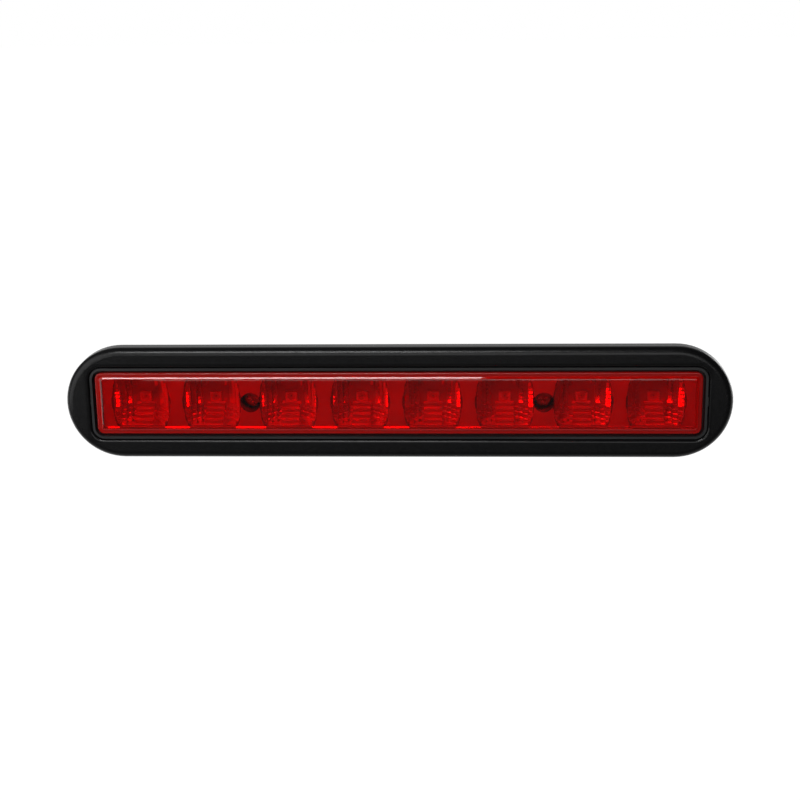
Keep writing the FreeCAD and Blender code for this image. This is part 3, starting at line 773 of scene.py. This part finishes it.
# ---- studs ----
def thread_ring(bm, centre, y, end):
    """One ring of an M4 thread: the crest goes round once in a pitch, and fades out at the tip."""
    ring = []
    fade = min(1.0, (end - y) / THREAD_FADE)
    for i in range(STUD_SIDES):
        phase = (y / THREAD_PITCH - i / STUD_SIDES) % 1.0
        crest = min(1.0, THREAD_CREST_GAIN * (1 - abs(2 * phase - 1)))
        r = THREAD_RADIUS - THREAD_DEPTH * (1 - crest * fade)
        turn = 2 * math.pi * i / STUD_SIDES
        ring.append(bm.verts.new((centre.x + r * math.cos(turn), y, centre.z + r * math.sin(turn))))
    return ring


def build_studs():
    """The two mounting studs, with a real helical M4 thread."""
    bm = bmesh.new()
    for low, high in islands("mount_studs"):
        centre = (low + high) / 2
        head_back = low.y + STUD_HEAD_THICKNESS
        profile = [
            (STUD_HEAD_RADIUS - STUD_HEAD_BEVEL, low.y),
            (STUD_HEAD_RADIUS, low.y + STUD_HEAD_BEVEL),
            (STUD_HEAD_RADIUS, head_back),
            (STUD_SHOULDER_RADIUS, head_back),
            (STUD_SHOULDER_RADIUS, 0.0),
            (THREAD_RADIUS - THREAD_DEPTH, THREAD_UNDERCUT),
        ]
        rings = [circle_ring(bm, radius, centre, y, STUD_SIDES) for radius, y in profile]
        length = high.y - THREAD_START
        steps = round(length / (THREAD_PITCH / RINGS_PER_PITCH))
        for step in range(steps + 1):
            rings.append(thread_ring(bm, centre, THREAD_START + length * step / steps, high.y))
        skin_rings(bm, rings)
    mesh = finished_mesh("mount_studs_threaded", bm, THREAD_SMOOTH_ANGLE)
    add_piece("mount_studs_threaded", mesh, [MATERIALS["steel"]], ["mount_studs"])


# ---- studio ----
def build_floor():
    """A table top that the camera sees plain white. Its own light fades out in front of the lamp."""
    bm = bmesh.new()
    corners = [(-1, -1), (1, -1), (1, 1), (-1, 1)]
    bm.faces.new([bm.verts.new((x * FLOOR_HALF, y * FLOOR_HALF, -FLOOR_DROP)) for x, y in corners])
    floor = bpy.data.objects.new("floor", finished_mesh("floor", bm))
    bpy.context.scene.collection.objects.link(floor)
    material, tree, shader = new_material("floor", (0.06, 0.06, 0.06), 0.9)
    shader.inputs["Emission Color"].default_value = (1.0, 1.0, 1.0, 1.0)
    glow = ramp(tree, axes(tree)["Y"], 0.0, 1.0, FLOOR_GLOW)
    path = tree.nodes.new("ShaderNodeLightPath")
    strength = math_node(tree, "MAXIMUM", glow, path.outputs["Is Camera Ray"])
    tree.links.new(strength, shader.inputs["Emission Strength"])
    floor.data.materials.append(material)


def add_softbox(name, place, target, size, watts):
    """A rectangular light at place that faces target."""
    data = bpy.data.lights.new(name, "AREA")
    data.shape = "RECTANGLE"
    data.size, data.size_y = size
    data.energy = watts
    light = bpy.data.objects.new(name, data)
    light.location = place
    light.rotation_mode = "QUATERNION"
    light.rotation_quaternion = (Vector(place) - Vector(target)).to_track_quat("Z", "Y")
    bpy.context.scene.collection.objects.link(light)


def build_world():
    """A white backdrop behind the lamp and a dim room in front of it, a little lighter on the left.
    The camera itself sees plain white all round."""
    world = bpy.data.worlds.new("studio")
    world.use_nodes = True
    tree = world.node_tree
    background = tree.nodes["Background"]
    background.inputs["Color"].default_value = (1.0, 1.0, 1.0, 1.0)
    direction = axes(tree, "Generated")
    backdrop = ramp(tree, direction["Y"], 0.0, 0.6, (0.45, 0.9))
    room = ramp(tree, direction["X"], 0.08, 0.015, (-0.3, 0.15))
    path = tree.nodes.new("ShaderNodeLightPath")
    strength = math_node(tree, "MAXIMUM", backdrop, room)
    strength = math_node(tree, "MAXIMUM", strength, path.outputs["Is Camera Ray"])
    tree.links.new(strength, background.inputs["Strength"])
    bpy.context.scene.world = world


def build_camera():
    """The camera of the product shot: a little above and to the right of the lamp's axis."""
    azimuth = math.radians(CAMERA_AZIMUTH)
    elevation = math.radians(CAMERA_ELEVATION)
    level = Vector((math.sin(azimuth), -math.cos(azimuth), 0.0))
    back = level * math.cos(elevation) + Vector((0.0, 0.0, math.sin(elevation)))
    front = Vector((0.0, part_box("bezel")[0][1], 0.0))
    data = bpy.data.cameras.new("camera")
    data.sensor_width = 36.0
    data.lens = FOCAL_LENGTH
    data.shift_x = CAMERA_SHIFT
    data.shift_y = CAMERA_SHIFT
    data.clip_start, data.clip_end = 0.01, 50.0
    camera = bpy.data.objects.new("camera", data)
    camera.location = front + back * CAMERA_DISTANCE
    camera.rotation_mode = "QUATERNION"
    turned = (-back).to_track_quat("-Z", "Y")
    camera.rotation_quaternion = turned @ Quaternion((0.0, 0.0, 1.0), math.radians(CAMERA_ROLL))
    bpy.context.scene.collection.objects.link(camera)
    bpy.context.scene.camera = camera


build_camera()
build_reflector()
for led_number, led_node in enumerate(LED_NODES, start=1):
    build_led(led_number, led_node)
epoxy = MATERIALS["epoxy"]
build_chips("ballast_resistor_chips", "ballast_resistors", MATERIALS["resistor"], 0.1)
build_chips("protection_diode_chip", "protection_diode", epoxy, 0.12)
build_chips("surge_suppressor_chip", "surge_suppressor", epoxy, 0.12)
build_chips("current_regulator_chip", "current_regulator", epoxy, 0.12)
build_chips("input_capacitor_chip", "input_capacitor", MATERIALS["capacitor"], 0.18)
build_studs()
build_floor()
build_world()
add_softbox("key", place=(-0.11, -0.445, 0.43), target=(-0.03, 0, 0), size=(0.27, 0.12), watts=1.75)
add_softbox("left_wall", place=(-0.32, -0.24, 0.08), target=(0, 0, 0), size=(0.36, 0.4), watts=0.75)
add_softbox("front_fill", place=(0.05, -0.75, 0.12), target=(0, 0, 0), size=(0.6, 0.35), watts=1.3)
add_softbox("back_fill", place=(0.5, 0.4, 0.08), target=(0, 0, 0), size=(0.4, 0.3), watts=1.5)
bpy.context.scene.view_settings.view_transform = "Standard"
